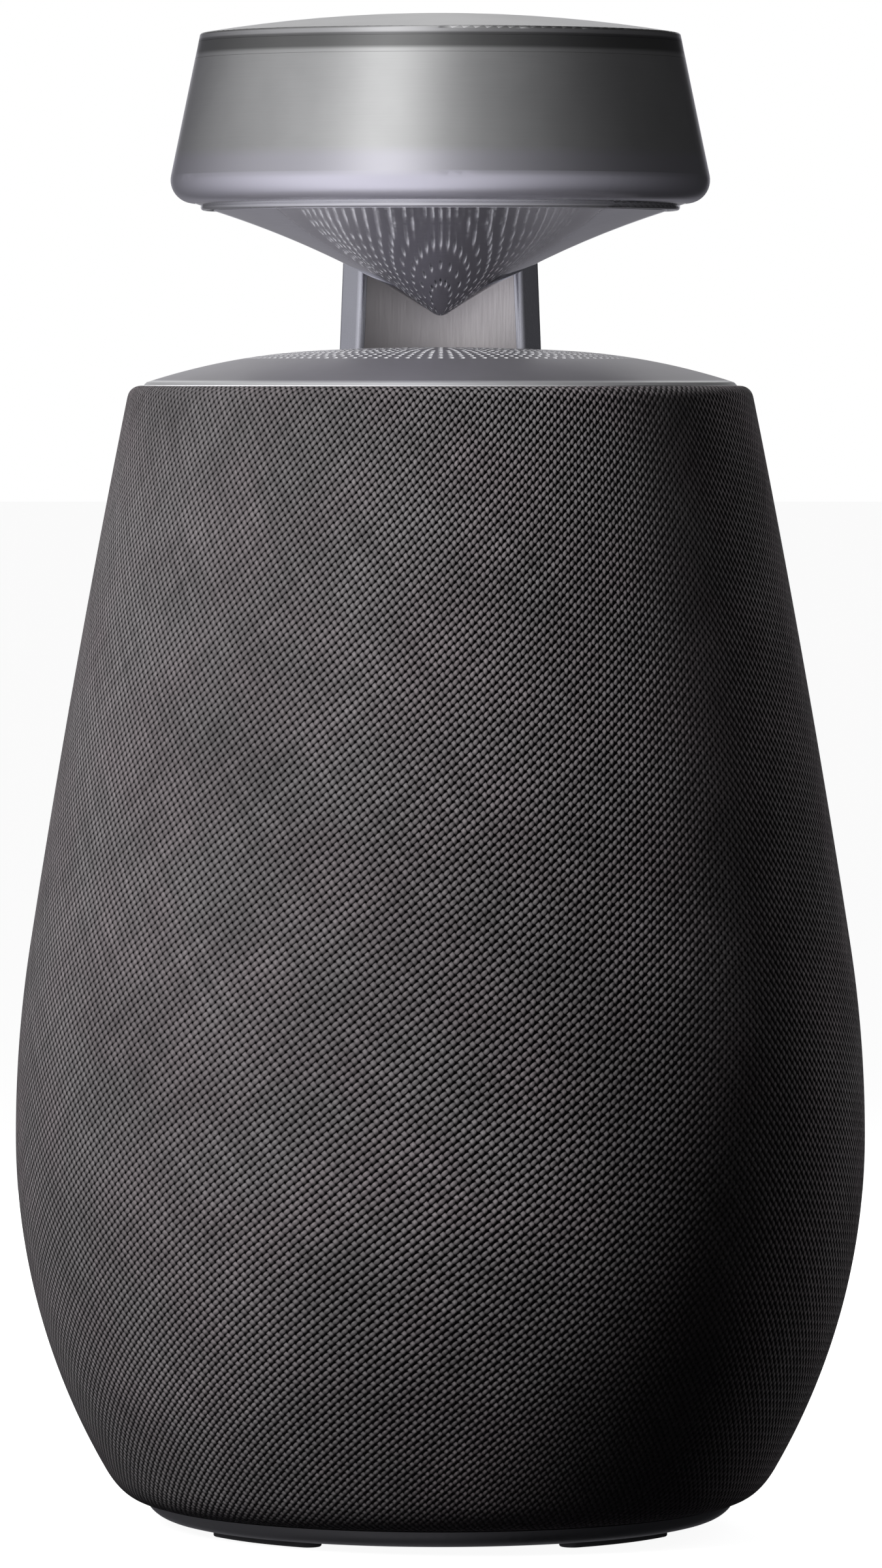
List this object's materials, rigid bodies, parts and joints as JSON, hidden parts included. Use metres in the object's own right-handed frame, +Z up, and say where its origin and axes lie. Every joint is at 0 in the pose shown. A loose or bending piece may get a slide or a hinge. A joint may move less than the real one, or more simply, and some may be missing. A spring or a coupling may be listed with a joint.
{
  "type": "smart home hub",
  "caption": "Smart speaker hub with a barrel-shaped woven body, a domed perforated top, and a metal crown with a mirror cone held over it by a curved neck.",
  "frame": {"origin": "on the ground under the middle of the body, level with the undersides of the feet", "axes": "+Z up along the body's axis; the front is -Y and the neck, the keys and the charging socket are at the back, +Y; +X is the right side seen from the front"},
  "size_m": [0.136, 0.137, 0.2415],
  "materials": {
    "fabric": "woven, matt",
    "dark_satin_metal": "fine satin",
    "neck_metal": "satin",
    "warm_brushed_metal": "brushed",
    "metallised_shell": "satin metallised under clear lacquer",
    "crown_top_metal": "satin",
    "smoked_band": "smoked, gloss",
    "mirror_metal": "polished",
    "polished_trim": "polished",
    "base_plastic": "fine satin",
    "foot_rubber": "matt",
    "strip_rubber": "soft-touch",
    "cover_rubber": "matt",
    "key_rubber": "matt",
    "inner_plastic": "moulded",
    "gasket_foam": "matt",
    "screw_steel": "plated",
    "cell_wrap": "shrink wrap",
    "board_green": "solder mask",
    "board_black": "solder mask",
    "component_black": "moulded",
    "socket_metal": "plated",
    "basket_steel": "black paint",
    "magnet_ferrite": "matt",
    "magnet_nickel": "plated",
    "motor_steel": "zinc plated",
    "cone_paper": "pressed pulp",
    "surround_rubber": "matt",
    "spider_cloth": "varnished",
    "coil_copper": "enamelled wire",
    "radiator_metal": "satin",
    "tweeter_plastic": "moulded",
    "tweeter_silk": "coated",
    "ribbon_film": "film",
    "guide_frost": "frosted"
  },
  "bodies": {
    "housing": {"fabric_sleeve": "fabric", "top_plate": "dark_satin_metal", "neck_column": "neck_metal", "neck_liner": "warm_brushed_metal", "crown_shell": "metallised_shell", "crown_cap": "crown_top_metal", "crown_light_ring": "smoked_band", "reflector_cone": "mirror_metal", "cone_trim_ring": "polished_trim", "base_cover": "base_plastic", "feet": "foot_rubber", "control_bezel": "strip_rubber", "base_tray": "inner_plastic", "grille_cage": "inner_plastic", "cabinet_tub": "inner_plastic", "cabinet_lid": "inner_plastic", "battery_holder": "inner_plastic", "woofer_deflector": "inner_plastic", "top_frame": "inner_plastic", "crown_frame": "inner_plastic", "radiator_frames": "inner_plastic", "cabinet_gasket": "gasket_foam", "base_screws": "screw_steel", "board_screws": "screw_steel", "cabinet_screws": "screw_steel", "woofer_screws": "screw_steel", "neck_screws": "screw_steel", "crown_screws": "screw_steel", "battery_cells": "cell_wrap", "main_board": "board_green", "control_board": "board_black", "led_board": "board_black", "board_components": "component_black", "usb_socket": "socket_metal", "woofer_basket": "basket_steel", "woofer_magnet": "magnet_ferrite", "tweeter_magnet": "magnet_nickel", "woofer_yoke": "motor_steel", "woofer_pole_ring": "motor_steel", "tweeter_pole": "motor_steel", "woofer_surround": "surround_rubber", "radiator_surround_left": "surround_rubber", "radiator_surround_right": "surround_rubber", "woofer_spider": "spider_cloth", "tweeter_cup": "tweeter_plastic", "tweeter_face": "tweeter_plastic", "neck_ribbon": "ribbon_film", "light_guide": "guide_frost"},
    "woofer_diaphragm": {"woofer_cone": "cone_paper", "woofer_dust_cap": "cone_paper", "woofer_voice_coil": "coil_copper"},
    "tweeter_diaphragm": {"tweeter_dome": "tweeter_silk"},
    "left_radiator": {"radiator_plate_left": "radiator_metal"},
    "right_radiator": {"radiator_plate_right": "radiator_metal"},
    "play_key": {"play_button": "key_rubber"},
    "volume_down_key": {"volume_down_button": "key_rubber"},
    "volume_up_key": {"volume_up_button": "key_rubber"},
    "pairing_key": {"pairing_button": "key_rubber"},
    "power_key": {"power_button": "key_rubber"},
    "socket_cover": {"port_cover": "cover_rubber"}
  },
  "joints": [
    {"name": "woofer_travel", "type": "slide", "parent": "housing", "child": "woofer_diaphragm", "axis": [0, 0, 1], "range_m": [-0.0025, 0.0025], "stiffness_N_per_m": 1200, "deforming": ["woofer_surround", "woofer_spider"]},
    {"name": "tweeter_travel", "type": "slide", "parent": "housing", "child": "tweeter_diaphragm", "axis": [0, 0, 1], "range_m": [-0.00025, 0.00025], "stiffness_N_per_m": 2500},
    {"name": "left_radiator_travel", "type": "slide", "parent": "housing", "child": "left_radiator", "axis": [-1, 0, 0], "range_m": [-0.003, 0.003], "stiffness_N_per_m": 450, "deforming": ["radiator_surround_left"]},
    {"name": "right_radiator_travel", "type": "slide", "parent": "housing", "child": "right_radiator", "axis": [1, 0, 0], "range_m": [-0.003, 0.003], "stiffness_N_per_m": 450, "deforming": ["radiator_surround_right"]},
    {"name": "play_press", "type": "slide", "parent": "housing", "child": "play_key", "axis": [0, -1, 0], "range_m": [0, 0.0006], "stiffness_N_per_m": 1500},
    {"name": "volume_down_press", "type": "slide", "parent": "housing", "child": "volume_down_key", "axis": [0, -1, 0], "range_m": [0, 0.0006], "stiffness_N_per_m": 1500},
    {"name": "volume_up_press", "type": "slide", "parent": "housing", "child": "volume_up_key", "axis": [0, -1, 0], "range_m": [0, 0.0006], "stiffness_N_per_m": 1500},
    {"name": "pairing_press", "type": "slide", "parent": "housing", "child": "pairing_key", "axis": [0, -1, 0], "range_m": [0, 0.0006], "stiffness_N_per_m": 1500},
    {"name": "power_press", "type": "slide", "parent": "housing", "child": "power_key", "axis": [0, -1, 0], "range_m": [0, 0.0006], "stiffness_N_per_m": 1500},
    {"name": "socket_cover_hinge", "type": "hinge", "parent": "housing", "child": "socket_cover", "pos_m": [0, 0.06627, 0.0464], "axis": [-1, 0, 0], "range_deg": [0, 100]}
  ]
}
